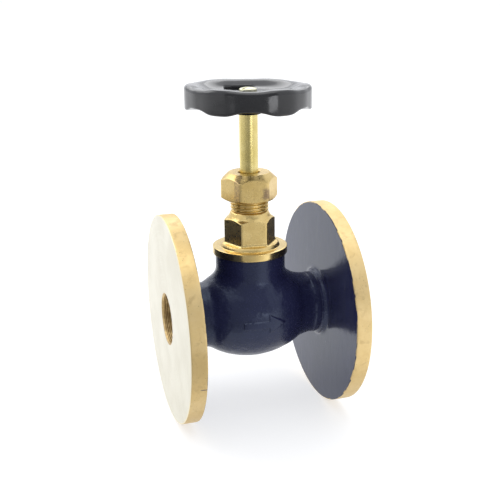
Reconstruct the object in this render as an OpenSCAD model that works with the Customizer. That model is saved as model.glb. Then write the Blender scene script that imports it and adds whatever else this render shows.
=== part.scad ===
// Flanged bronze globe valve, DN 25, with a screwed bonnet, inside screw and rising stem.
// X runs along the ports (inlet at -X), Z runs up the stem.
// Z = 0 is the plane touched by the rims of the two flanges.

/* [Flanges] */
// Outside diameter of each flange
flange_d = 115; // [100:1:125]
// Thickness of each flange
flange_t = 8.6; // [6:0.2:12]
// Distance between the two outer flange faces
face_to_face = 96.6; // [92:0.2:110]
// Diameter of the turned port bore
port_d = 27; // [25.5:0.5:28]
// Length of the turned port bore, from the flange face
port_l = 14; // [10:0.5:15]
// Chamfer at the mouth of each port
port_chamfer = 0.9; // [0.2:0.1:1.5]

/* [Body] */
// Outside diameter of the round neck between bulb and flange
side_neck_d = 34.4; // [33:0.2:36]
// Fillet between a side neck and its flange
flange_fillet = 3.6; // [2:0.2:5]
// Largest diameter of the bulb
bulb_d = 52.2; // [50:0.2:54]
// Half length of the ellipse that gives the bulb its outline
bulb_a = 36; // [34:0.5:38]
// Wall thickness of the bulb
wall = 4; // [3:0.1:4.5]
// Outside diameter of the neck that takes the bonnet
top_neck_d = 38.4; // [38:0.2:40]
// Height of the bonnet joint above the port axis
joint_h = 34.2; // [33:0.2:36]
// Diameter of the bonnet thread
bonnet_thread_d = 32; // [31:0.5:32]

/* [Seat and disc] */
// Bore of the seat ring
seat_d = 20; // [18:0.5:20]
// Outside diameter of the disc
disc_d = 24.8; // [24:0.2:25.2]
// Travel of the stem from shut to fully open
lift = 9; // [6:0.5:9]

/* [Bonnet] */
// Diameter of the round collar under the bonnet hexagon
collar_d = 41.2; // [39:0.2:42]
// Thickness of the round collar
collar_t = 4.05; // [3.5:0.05:4.5]
// Size across the flats of the bonnet hexagon
bonnet_af = 24.8; // [24:0.2:27]
// Crest diameter of the gland nut thread
gland_thread_d = 20.95; // [20.5:0.05:21.5]
// Pitch of the gland nut thread
gland_pitch = 1.814; // [1.5:0.001:2]

/* [Stem] */
// Diameter of the plain stem
stem_d = 10; // [9:0.2:10]
// Diameter of the stem's driving thread
stem_thread_d = 12; // [11.4:0.2:12.4]
// Pitch of the stem's driving thread
stem_pitch = 3; // [2.5:0.5:4]
// Size of the square that drives the handwheel
square_af = 7; // [6:0.5:7]

/* [Gland] */
// Size across the flats of the gland nut
gland_nut_af = 27.3; // [26:0.1:29]
// Height of the gland nut
gland_nut_h = 15; // [14:0.5:17]
// Height of one packing ring
packing_h = 2.8; // [2:0.1:3]

/* [Handwheel] */
// Mean outside diameter of the rim
wheel_d = 66.2; // [60:0.2:74]
// How far each lobe stands out from the mean rim
lobe = 0.4; // [0.2:0.1:2.2]
// Number of finger lobes round the rim
lobes = 6; // [5:1:8]
// Height of the rim at a lobe
rim_h = 13.6; // [12:0.2:15]
// Height of the underside of the hub above the port axis, valve open
hub_z = 110; // [106:0.5:114]
// Angle of the first lobe from the outlet
wheel_turn = 46; // [0:1:59]
// Number of windows in the web
windows = 3; // [2:1:3]

/* [Hidden] */
$fn = 96;
eps = 0.01;
run = 0.05;                       // radial running clearance
pz = flange_d / 2;                // port axis above the rims
hx = face_to_face / 2;            // flange outer face
fx = hx - flange_t;               // flange inner face
rn = side_neck_d / 2;
rb = bulb_d / 2;
rt = top_neck_d / 2;
rport = port_d / 2;
rpass = 12.5;                     // cast passage
rthr = bonnet_thread_d / 2;
gasket_t = 0.8;
gasket_r = rthr + 1.9;
skirt_z = 20;                     // lower end of the bonnet thread
cavity_r = 12.9;                  // room for the raised disc
back_z = 27;                      // back seat
female_top = 46;                  // top of the bonnet's female thread
box_z = 56.6;                     // floor of the stuffing box
box_r = 7.55;
neck_top = 73.5;                  // top of the gland thread
hex_z = joint_h + collar_t;       // foot of the bonnet hexagon
hex_r = bonnet_af / 2 / cos(30);
nut_r = gland_nut_af / 2 / cos(30);
nut_z = 64;
wash_t = 1.5;
pack0 = box_z + wash_t;
seat_top = 2.3;
bridge_top = 0.5;
bridge_bot = -4.5;
stem_r = stem_d / 2;
st_r = stem_thread_d / 2;
hex_turn = 54;                    // corners of both hexagons, from the outlet
rim_z = hub_z + 2.3;              // lower edge of the rim at a lobe
web_z = hub_z + 11.4;             // top of the web and hub

// outline of the bulb and necks, radius at a place along the port axis
function bulb(x) = rb * sqrt(max(0, 1 - (x / bulb_a) * (x / bulb_a)));
function join(a, b, k) = let (h = max(k - abs(a - b), 0) / k) max(a, b) + h * h * k / 4;
function outline(x) = join(bulb(x), rn, 1.6);
xs = [for (i = [0:13]) 32 * sin(90 * i / 13)];

module about_x() translate([0, 0, pz]) rotate([0, 90, 0]) children();
module up(z) translate([0, 0, pz + z]) children();
// a ring turned about Z, from a list of [radius, height above the port axis]
module turned(pts) up(0) rotate_extrude() polygon(pts);

// crests and roots of a thread stood in for by rings: points going up the outside
function rings(r, depth, pitch, z0, z1) =
    [for (i = [0:floor((z1 - z0) / pitch) - 1]) let (z = z0 + i * pitch)
        each [[r - depth, z], [r - depth, z + pitch * 0.18], [r, z + pitch * 0.42], [r, z + pitch * 0.7]]];

module flange_ring(s) {
    about_x() rotate([0, s > 0 ? 0 : 180, 0]) rotate_extrude()
        polygon(concat(
            [[0, fx - flange_fillet - 1], [rn, fx - flange_fillet - 1]],
            [for (a = [0:15:90]) [rn + flange_fillet * (1 - cos(a)), fx - flange_fillet + flange_fillet * sin(a)]],
            [[pz - 0.4, fx], [pz, fx + 0.4], [pz, hx - 0.4], [pz - 0.4, hx], [0, hx]]));
}
module bulb_solid(grow = 0) {
    about_x() rotate_extrude()
        polygon(concat([[0, -36]], [[rn + grow, -36]],
            [for (i = [13:-1:1]) [outline(xs[i]) + grow, -xs[i]]],
            [for (i = [0:13]) [outline(xs[i]) + grow, xs[i]]],
            [[rn + grow, 36], [0, 36]]));
}
module top_neck() {
    turned(concat([[0, 0], [rt + 1.3, 12], [rt + 1.3, 16]],
        [for (a = [90:-22.5:0]) [rt + 1.3 * (1 - cos(a)), 20.6 - 4 * sin(a)]],
        [[rt, joint_h - 0.3], [rt - 0.3, joint_h], [0, joint_h]]));
}
module bridge_plate() {
    up(0) rotate([90, 0, 0]) linear_extrude(60, center = true) polygon([
        [-20.5, 24], [-16.4, 5.5], [-13, bridge_top], [14.5, bridge_top], [19.6, -4.6], [26, -26],
        [21.8, -26], [16.2, -8], [13, bridge_bot], [-14.5, bridge_bot], [-20.2, 3.6], [-25, 24]]);
}

module body() color([0.11, 0.13, 0.27]) {
    difference() {
        union() {
            difference() {
                union() {
                    flange_ring(1);
                    flange_ring(-1);
                    bulb_solid();
                    top_neck();
                }
                // inside of the bulb
                about_x() rotate_extrude() polygon(concat([[0, -24]],
                    [for (i = [9:-1:1]) [(rb - wall) * sqrt(1 - pow(xs[i] / (bulb_a - 4), 2)), -xs[i]]],
                    [for (i = [0:9]) [(rb - wall) * sqrt(1 - pow(xs[i] / (bulb_a - 4), 2)), xs[i]]],
                    [[0, 24]]));
                about_x() cylinder(h = face_to_face + 2, r = rpass, center = true);
                turned([[0, 2], [15, 2], [15, joint_h + 1], [0, joint_h + 1]]);
            }
            intersection() {
                bridge_plate();
                union() {
                    bulb_solid(-1);
                    turned([[0, 0], [rt - 1, 0], [rt - 1, 24], [0, 24]]);
                }
            }
        }
        // turned port bores and their chamfers
        for (s = [-1, 1]) about_x() rotate([0, s > 0 ? 0 : 180, 0]) rotate_extrude()
            polygon([[0, hx - port_l], [rport, hx - port_l], [rport, hx - port_chamfer],
                     [rport + port_chamfer + 0.1, hx + 0.1], [0, hx + 0.1]]);
        // bonnet thread and joint recess
        turned([[0, skirt_z - 2], [rthr, skirt_z - 2], [rthr, joint_h - gasket_t], [gasket_r, joint_h - gasket_t],
                [gasket_r, joint_h + 1], [0, joint_h + 1]]);
        // upper chamber beside the disc
        turned([[0, bridge_top], [14.2, bridge_top], [15, 3], [15, skirt_z], [0, skirt_z]]);
        // thread for the seat ring
        turned([[0, bridge_bot - 3], [12.5, bridge_bot - 3], [12.5, bridge_top + 2], [0, bridge_top + 2]]);
    }
    // raised flow arrow on the front of the bulb, pointing at the outlet
    intersection() {
        translate([0, -rb + 2, pz]) rotate([90, 0, 0]) linear_extrude(6, center = true) polygon([
            [-11, -1.7], [3, -1.7], [3, -5], [11.5, 0], [3, 5], [3, 1.7], [-11, 1.7]]);
        difference() { bulb_solid(0.55); bulb_solid(-1.2); }
    }
}

module seat_ring() color([0.78, 0.62, 0.34])
    turned([[seat_d / 2, bridge_bot], [12.45, bridge_bot], [12.45, bridge_top], [13.6, bridge_top], [13.6, seat_top - 0.3],
            [13.3, seat_top], [seat_d / 2 + 1, seat_top], [seat_d / 2, seat_top - 1]]);

module bonnet() color([0.80, 0.62, 0.33]) {
    thr = rings(gland_thread_d / 2 - run, 1.05, gland_pitch, 58.3, neck_top);
    difference() {
        union() {
            // thread into the body, and the round collar
            turned(concat([[0, skirt_z], [rthr - run - 1.2, skirt_z]],
                rings(rthr - run, 1.1, 2, skirt_z + 1, joint_h - 1.4),
                [[rthr - 1.2, joint_h - 1.2], [rthr - 1.2, joint_h],
                 [collar_d / 2 - 0.3, joint_h], [collar_d / 2, joint_h + 0.3], [collar_d / 2, hex_z - 0.3],
                 [collar_d / 2 - 0.3, hex_z], [hex_r + 1.6, hex_z], [hex_r + 1.5, hex_z + 0.5], [hex_r + 0.9, hex_z + 1.8],
                 [hex_r + 0.5, hex_z + 2], [0, hex_z + 2]]));
            // hexagon with its turned shoulder
            intersection() {
                up(hex_z - 1) rotate([0, 0, hex_turn]) cylinder(h = 24, r = hex_r, $fn = 6);
                turned([[0, hex_z - 1], [16, hex_z - 1], [16, 51.9], [hex_r, 52.9], [hex_r - 1.9, 54.1],
                        [11.4, 55.2], [10.6, 56.8], [9.3, 57.9], [0, 57.9]]);
            }
            // neck with the gland thread
            turned(concat([[0, 50], [9.3, 50], [9.3, 58.2]], thr, [[9.3, neck_top], [0, neck_top]]));
        }
        turned([[0, skirt_z - 1], [cavity_r, skirt_z - 1], [cavity_r, back_z - 3], [10.2, back_z - 0.6], [8, back_z - 0.6],
                [st_r + run, back_z + 1.4], [st_r + run, female_top], [st_r + 0.4, female_top + 0.4], [st_r + 0.4, box_z],
                [box_r, box_z], [box_r, neck_top + 1], [0, neck_top + 1]]);
    }
}

module bonnet_gasket() color([0.93, 0.93, 0.90])
    turned([[rthr, joint_h - gasket_t], [gasket_r, joint_h - gasket_t], [gasket_r, joint_h], [rthr, joint_h]]);

// stem, drawn fully open
module stem() color([0.82, 0.70, 0.38]) {
    difference() {
        union() {
            turned(concat(
                [[0, 5.52 + lift], [3, 5.52 + lift], [6.2, 6.1 + lift], [6.8, 6.6 + lift], [6.8, 8.3 + lift], [4.5, 8.3 + lift],
                 [4.5, 15.2 + lift], [7.2, 15.6 + lift], [7.6, 16 + lift], [7.6, 17.0 + lift], [5, 18.4 + lift]],
                rings(st_r, 1.45, stem_pitch, 18.6 + lift, 46.6 + lift),
                [[st_r - 1.45, 46.7 + lift], [stem_r, 47.0 + lift], [stem_r, hub_z - 0.3], [stem_r - 0.3, hub_z], [0, hub_z]]));
            intersection() {
                up(hub_z - 1) translate([-square_af / 2, -square_af / 2, 0]) cube([square_af, square_af, web_z - hub_z + 0.6]);
                turned([[0, hub_z - 2], [stem_r - 0.1, hub_z - 2], [stem_r - 0.1, web_z - 0.8], [stem_r - 0.6, web_z - 0.4], [0, web_z - 0.4]]);
            }
        }
        // tapped hole for the handwheel screw
        up(web_z - 13) cylinder(h = 14, r = 2.5);
    }
}

// disc, drawn fully open
module disc() color([0.78, 0.60, 0.32])
    turned([for (q = [[0, 0.5], [seat_d / 2 - 0.84, 0.5], [seat_d / 2 + 1.66, 3], [disc_d / 2, 3.2], [disc_d / 2, 11.5], [disc_d / 2 - 0.5, 12],
            [8, 12], [8, 5.5], [0, 5.5]]) [q[0], q[1] + lift]]);

module disc_nut() color([0.82, 0.64, 0.36])
    difference() {
        union() {
            turned([for (q = [[0, 8.4], [6.8, 8.4], [7.2, 8.5], [7.95, 9.2], [7.95, 12], [0, 12]]) [q[0], q[1] + lift]]);
            intersection() {
                up(12 + lift) cylinder(h = 3, r = 15 / 2 / cos(30), $fn = 6);
                turned([for (q = [[0, 11], [9.5, 11], [9.5, 14], [7.9, 15], [0, 15]]) [q[0], q[1] + lift]]);
            }
        }
        up(8 + lift) cylinder(h = 8, r = 4.6);
    }

module packing_washer() color([0.80, 0.62, 0.33])
    turned([[stem_r + run, box_z], [box_r - 0.05, box_z], [box_r - 0.05, pack0], [stem_r + run, pack0]]);

// one square-section packing ring with slightly rounded edges; i counts from the bottom
module packing_ring(i) color([0.90, 0.89, 0.84]) {
    a = pack0 + i * packing_h;
    b = a + packing_h;
    turned([[stem_r + run + 0.2, a], [box_r - 0.2, a], [box_r, a + 0.2], [box_r, b - 0.2], [box_r - 0.2, b],
            [stem_r + run + 0.2, b], [stem_r + run, b - 0.2], [stem_r + run, a + 0.2]]);
}
module packing_ring_1() packing_ring(0);
module packing_ring_2() packing_ring(1);
module packing_ring_3() packing_ring(2);
module packing_ring_4() packing_ring(3);

module gland() color([0.80, 0.62, 0.33]) {
    a = pack0 + 4 * packing_h;
    turned([[stem_r + run, a], [box_r - run, a], [box_r - run, neck_top + 0.5], [9, neck_top + 0.5], [9, nut_z + 11.6],
            [8.4, nut_z + 12.2], [stem_r + run, nut_z + 12.2]]);
}

module gland_nut() color([0.80, 0.62, 0.36])
    difference() {
        intersection() {
            up(nut_z) rotate([0, 0, hex_turn]) cylinder(h = gland_nut_h, r = nut_r, $fn = 6);
            turned([[0, nut_z], [12.6, nut_z], [nut_r + 0.1, nut_z + 1.7], [nut_r + 0.1, nut_z + gland_nut_h - 4.3],
                    [11.2, nut_z + gland_nut_h], [0, nut_z + gland_nut_h]]);
        }
        turned([[0, nut_z - 1], [gland_thread_d / 2 + 0.9, nut_z - 1], [gland_thread_d / 2, nut_z + 0.9],
                [gland_thread_d / 2, nut_z + 10.4], [9.05, nut_z + 11.4], [9.05, nut_z + 12.2], [5.9, nut_z + 12.2],
                [5.9, nut_z + gland_nut_h - 0.4], [6.3, nut_z + gland_nut_h + 0.1], [0, nut_z + gland_nut_h + 0.1]]);
    }

// broad lobes and narrow valleys: 1 at a lobe, -1 at the bottom of a valley
function wave(a) = let(t = min(1, (1 - cos(lobes * a)) / 1.96)) 1 - 2 * t * t * (3 - 2 * t);
// lobed outline, drawn in by d at the lobes and by d + dip at the valleys
module lobed(d, dip = 0) polygon([for (a = [0:5:355])
    (wheel_d / 2 + lobe * wave(a) - d - dip * (1 - wave(a)) / 2) * [cos(a), sin(a)]]);
module slab(z, h, d, dip = 0) translate([0, 0, rim_z + z]) linear_extrude(h) lobed(d, dip);

module handwheel() color([0.10, 0.10, 0.11]) {
    up(0) difference() {
        // rim: the lobes stand higher and hang lower than the valleys between them
        rotate([0, 0, wheel_turn]) union() {
            slab(0.4, 0.4, 0.6, 9);
            slab(0.8, 1.5, 0, 9);
            slab(2.3, rim_h - 4.7, 0);
            slab(rim_h - 2.4, 0.8, 0.2, 0.4);
            slab(rim_h - 1.6, 0.7, 0.8, 1.2);
            slab(rim_h - 0.9, 0.4, 1.9, 3);
        }
        // hollow underside with the hub's room, and the dish in the top
        rotate_extrude() polygon([[0, rim_z - 1], [25, rim_z - 1], [25.6, rim_z + 1], [25.6, web_z - 4], [24.2, web_z - 3],
                                  [7, web_z - 3], [7, web_z + 1], [0, web_z + 1]]);
        rotate_extrude() polygon([[0, web_z], [18, web_z], [20.5, web_z + 0.5], [24, web_z + 2], [27, rim_z + rim_h - 1.1],
                                  [28.8, rim_z + rim_h - 0.4], [28.8, rim_z + rim_h + 1], [0, rim_z + rim_h + 1]]);
        // windows between the spokes
        for (i = [0:windows - 1]) rotate([0, 0, 88 + i * 360 / windows])
            translate([0, 0, web_z - 4]) linear_extrude(7) intersection() {
                difference() { circle(r = 22); circle(r = 9.2); }
                polygon([[4, -2], [26, -12], [26, 12], [4, 2]]);
            }
    }
    // hub with its square hole
    difference() {
        turned([[0, hub_z], [6.6, hub_z], [7, hub_z + 0.5], [7.5, web_z - 2.9], [7.5, web_z], [0, web_z]]);
        up(hub_z - 1) translate([-square_af / 2 - 0.04, -square_af / 2 - 0.04, 0])
            cube([square_af + 0.08, square_af + 0.08, web_z - hub_z + 2]);
    }
}

module handwheel_screw() color([0.86, 0.78, 0.52])
    difference() {
        union() {
            turned([[0, web_z - 11], [2.1, web_z - 11], [2.48, web_z - 10.6], [2.48, web_z - 0.4], [2.48, web_z],
                    [4.7, web_z], [4.7, web_z + 1.4], [3.9, web_z + 2.1], [2.4, web_z + 2.4], [0, web_z + 2.45]]);
        }
        up(web_z + 1.3) rotate([0, 0, 35]) translate([-6, -0.6, 0]) cube([12, 1.2, 3]);
    }

body();
seat_ring();
bonnet();
bonnet_gasket();
stem();
disc();
disc_nut();
packing_washer();
packing_ring_1();
packing_ring_2();
packing_ring_3();
packing_ring_4();
gland();
gland_nut();
handwheel();
handwheel_screw();
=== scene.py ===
import math

import bpy
import numpy as np
from mathutils import Matrix, Vector


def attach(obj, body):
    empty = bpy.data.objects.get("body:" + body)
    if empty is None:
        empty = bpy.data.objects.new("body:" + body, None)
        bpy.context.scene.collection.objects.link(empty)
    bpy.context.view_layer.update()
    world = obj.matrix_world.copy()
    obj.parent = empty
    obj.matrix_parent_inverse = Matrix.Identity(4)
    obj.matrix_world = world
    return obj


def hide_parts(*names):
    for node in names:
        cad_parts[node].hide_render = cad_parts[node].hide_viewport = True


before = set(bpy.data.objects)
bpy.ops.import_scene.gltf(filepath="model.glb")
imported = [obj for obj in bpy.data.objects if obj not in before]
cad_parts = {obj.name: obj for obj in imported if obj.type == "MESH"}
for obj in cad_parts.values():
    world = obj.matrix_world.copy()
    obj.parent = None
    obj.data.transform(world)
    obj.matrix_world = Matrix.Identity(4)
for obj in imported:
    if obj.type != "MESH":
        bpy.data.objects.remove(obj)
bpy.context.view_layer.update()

# Lengths below are in millimetres in the row frame, or above the port axis where named z.
AXIS = 57.5          # port axis above the floor
FACE_OUT = 48.3      # outer flange face
FACE_IN = 39.7       # inner flange face
R_FLANGE = 57.5
R_NECK = 17.2
R_TOP = 19.2         # upright neck
JOINT = 34.2         # bonnet joint


# ---------------------------------------------------------------- helpers

def smin(a, b, k):
    h = np.maximum(k - np.abs(a - b), 0) / k
    return np.minimum(a, b) - h * h * k * 0.25


def smax(a, b, k):
    return -smin(-a, -b, k)


def round_and(a, b, r):
    """Intersection with a true circular edge of radius r."""
    u, v = np.maximum(a + r, 0), np.maximum(b + r, 0)
    return np.minimum(np.maximum(a, b), -r) + np.hypot(u, v)


def step(a, b, x):
    t = np.clip((x - a) / (b - a), 0, 1)
    return t * t * (3 - 2 * t)


def hash01(i, j, k, seed):
    n = (i * 73856093) ^ (j * 19349663) ^ (k * 83492791) ^ (seed * 2654435761)
    n = (n ^ (n >> 13)) & 0x7FFFFFFF
    n = (n * 1274126177) & 0x7FFFFFFF
    n = (n ^ (n >> 15)) & 0x7FFFFFFF
    return (n % 65521) / 65521.0


def noise3(p, scale, seed=1):
    """Smooth value noise from -1 to 1 at points p, one lattice cell being `scale` long."""
    q = np.asarray(p, float) / scale
    i = np.floor(q).astype(np.int64)
    f = q - i
    f = f * f * f * (f * (f * 6 - 15) + 10)
    out = 0.0
    for dx in (0, 1):
        for dy in (0, 1):
            for dz in (0, 1):
                w = ((f[:, 0] if dx else 1 - f[:, 0]) * (f[:, 1] if dy else 1 - f[:, 1]) * (f[:, 2] if dz else 1 - f[:, 2]))
                out = out + w * hash01(i[:, 0] + dx + 1000, i[:, 1] + dy + 1000, i[:, 2] + dz + 1000, seed)
    return out * 2 - 1


def make_mesh(name, verts, quads, material, sharp=40.0, tris=None):
    mesh = bpy.data.meshes.new(name)
    faces = [tuple(q) for q in np.asarray(quads).tolist()]
    if tris is not None and len(tris):
        faces += [tuple(t) for t in np.asarray(tris).tolist()]
    mesh.from_pydata((np.asarray(verts, float) / 1000.0).tolist(), [], faces)
    mesh.validate()
    obj = bpy.data.objects.new(name, mesh)
    bpy.context.scene.collection.objects.link(obj)
    if material is not None:
        mesh.materials.append(material)
    finish_normals(mesh, sharp)
    return obj


def finish_normals(mesh, sharp):
    mesh.shade_smooth()
    if sharp is not None:
        mesh.set_sharp_from_angle(angle=math.radians(sharp))
    mesh.update()


def surface_net(f, low, high, h, relax=3, project=3, mirror=None):
    """Closed quad mesh of f = 0 by surface nets, relaxed along the surface and projected back to it."""
    low = np.array(low, float)
    n = np.ceil((np.array(high, float) - low) / h).astype(int) + 1
    ax = [low[i] + h * np.arange(n[i]) for i in range(3)]
    grid = np.meshgrid(*ax, indexing="ij")
    val = f(*grid)
    val = np.where(val == 0, 1e-9, val)
    shape = np.array(val.shape) - 1
    total = int(np.prod(shape))
    acc = np.zeros((total, 3))
    cnt = np.zeros(total)
    edges = []
    for axis in range(3):
        s0 = [slice(None)] * 3
        s1 = [slice(None)] * 3
        s0[axis], s1[axis] = slice(0, -1), slice(1, None)
        a, b = val[tuple(s0)], val[tuple(s1)]
        cross = (a < 0) != (b < 0)
        idx = np.argwhere(cross)
        ca, cb = a[cross], b[cross]
        t = ca / (ca - cb)
        p = idx.astype(float)
        p[:, axis] += t
        o = [q for q in range(3) if q != axis]
        cells = []
        for d0, d1 in ((0, 0), (-1, 0), (-1, -1), (0, -1)):
            c = idx.copy()
            c[:, o[0]] += d0
            c[:, o[1]] += d1
            ok = ((c >= 0) & (c < shape)).all(1)
            flat = (c[:, 0] * shape[1] + c[:, 1]) * shape[2] + c[:, 2]
            flat = np.where(ok, flat, -1)
            cells.append(flat)
            g = flat[ok]
            cnt += np.bincount(g, minlength=total)
            for q in range(3):
                acc[:, q] += np.bincount(g, weights=p[ok, q], minlength=total)
        edges.append((axis, ca < 0, np.stack(cells, 1)))
    used = cnt > 0
    number = np.full(total, -1)
    number[used] = np.arange(used.sum())
    v = acc[used] / cnt[used][:, None] * h + low
    quads = []
    for axis, inside, cells in edges:
        ok = (cells >= 0).all(1)
        q = number[cells[ok]]
        flip = inside[ok] if axis != 1 else ~inside[ok]
        q[~flip] = q[~flip][:, ::-1]
        quads.append(q)
    quads = np.concatenate(quads)
    # relax towards the neighbours' mean, then back to the surface
    e = np.concatenate([quads[:, [0, 1]], quads[:, [1, 2]], quads[:, [2, 3]], quads[:, [3, 0]]])
    deg = np.bincount(e[:, 0], minlength=len(v)) + np.bincount(e[:, 1], minlength=len(v))

    def value(p):
        return f(p[:, 0], p[:, 1], p[:, 2])

    def newton(p, times):
        d = 0.05 * h
        for _ in range(times):
            c = value(p)
            g = np.stack([(value(p + d * np.eye(3)[q]) - value(p - d * np.eye(3)[q])) / (2 * d) for q in range(3)], 1)
            m = np.maximum((g * g).sum(1), 0.15)
            move = -(c / m)[:, None] * g
            length = np.maximum(np.linalg.norm(move, axis=1), 1e-12)
            move *= np.minimum(1, 0.5 * h / length)[:, None]
            p = p + move
        return p

    for _ in range(relax):
        s = np.zeros_like(v)
        for q in range(3):
            s[:, q] = np.bincount(e[:, 0], weights=v[e[:, 1], q], minlength=len(v)) + np.bincount(e[:, 1], weights=v[e[:, 0], q], minlength=len(v))
        v = 0.5 * v + 0.5 * s / deg[:, None]
        v = newton(v, 2)
    v = newton(v, project)
    return v, quads


def ring_mesh(name, rows, seg, material, axis="z", closed=True, sharp=32.0, side=1):
    """A piece turned about an axis. Each row is (radius, place along the axis); either may be an array over the angle.
    A row with radius 0 at an open end is a pole."""
    th = np.linspace(0, 2 * np.pi, seg, endpoint=False)
    pts, start, pole = [], [], []
    count = 0
    for r, z in rows:
        if np.isscalar(r) and r == 0:
            pts.append(np.array([[0.0, 0.0, float(z)]]))
            start.append(count)
            pole.append(True)
            count += 1
            continue
        r = np.broadcast_to(np.asarray(r, float), th.shape)
        zz = np.broadcast_to(np.asarray(z, float), th.shape)
        pts.append(np.stack([r * np.cos(th), r * np.sin(th), zz], 1))
        start.append(count)
        pole.append(False)
        count += seg
    v = np.concatenate(pts)
    quads, tris = [], []
    k = np.arange(seg)
    kn = (k + 1) % seg
    pairs = [(i, i + 1) for i in range(len(rows) - 1)]
    if closed:
        pairs.append((len(rows) - 1, 0))
    for i, j in pairs:
        if pole[i]:
            tris.append(np.stack([np.full(seg, start[i]), start[j] + kn, start[j] + k], 1))
        elif pole[j]:
            tris.append(np.stack([start[i] + k, start[i] + kn, np.full(seg, start[j])], 1))
        else:
            quads.append(np.stack([start[i] + k, start[i] + kn, start[j] + kn, start[j] + k], 1))
    if axis == "x":
        # local z runs along X (times side), about the port axis
        v = np.stack([side * v[:, 2], v[:, 0], v[:, 1]], 1)
        if side < 0:
            quads = [q[:, ::-1] for q in quads]
            tris = [t[:, ::-1] for t in tris]
    v[:, 2] += AXIS
    quads = np.concatenate(quads)
    tris = np.concatenate(tris) if tris else None
    return make_mesh(name, v, quads, material, sharp, tris)


def angles(seg):
    return np.linspace(0, 2 * np.pi, seg, endpoint=False)


def hexagon(seg, flats, corner, edge=0.35):
    """Radius over the angle of a hexagon with slightly rounded corners."""
    th = np.degrees(angles(seg))
    phi = (th - corner) % 60 - 30
    r = flats / 2 / np.cos(np.radians(phi))
    return smin(r, np.full_like(r, flats / 2 / math.cos(math.pi / 6) - edge * 0.3), edge)


def set_outward(obj):
    """Turns a closed mesh's faces outwards, from the sign of its volume."""
    m = obj.data
    m.calc_loop_triangles()
    co = np.zeros(len(m.vertices) * 3)
    m.vertices.foreach_get("co", co)
    co = co.reshape(-1, 3)
    tri = np.zeros(len(m.loop_triangles) * 3, np.int32)
    m.loop_triangles.foreach_get("vertices", tri)
    t = co[tri.reshape(-1, 3)]
    vol = np.einsum("ij,ij->i", t[:, 0], np.cross(t[:, 1], t[:, 2])).sum()
    if vol < 0:
        m.flip_normals()
    return obj


def apply_modifiers(obj):
    dg = bpy.context.evaluated_depsgraph_get()
    new = bpy.data.meshes.new_from_object(obj.evaluated_get(dg))
    obj.modifiers.clear()
    old = obj.data
    obj.data = new
    bpy.data.meshes.remove(old)
    return obj


# ---------------------------------------------------------------- materials

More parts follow.
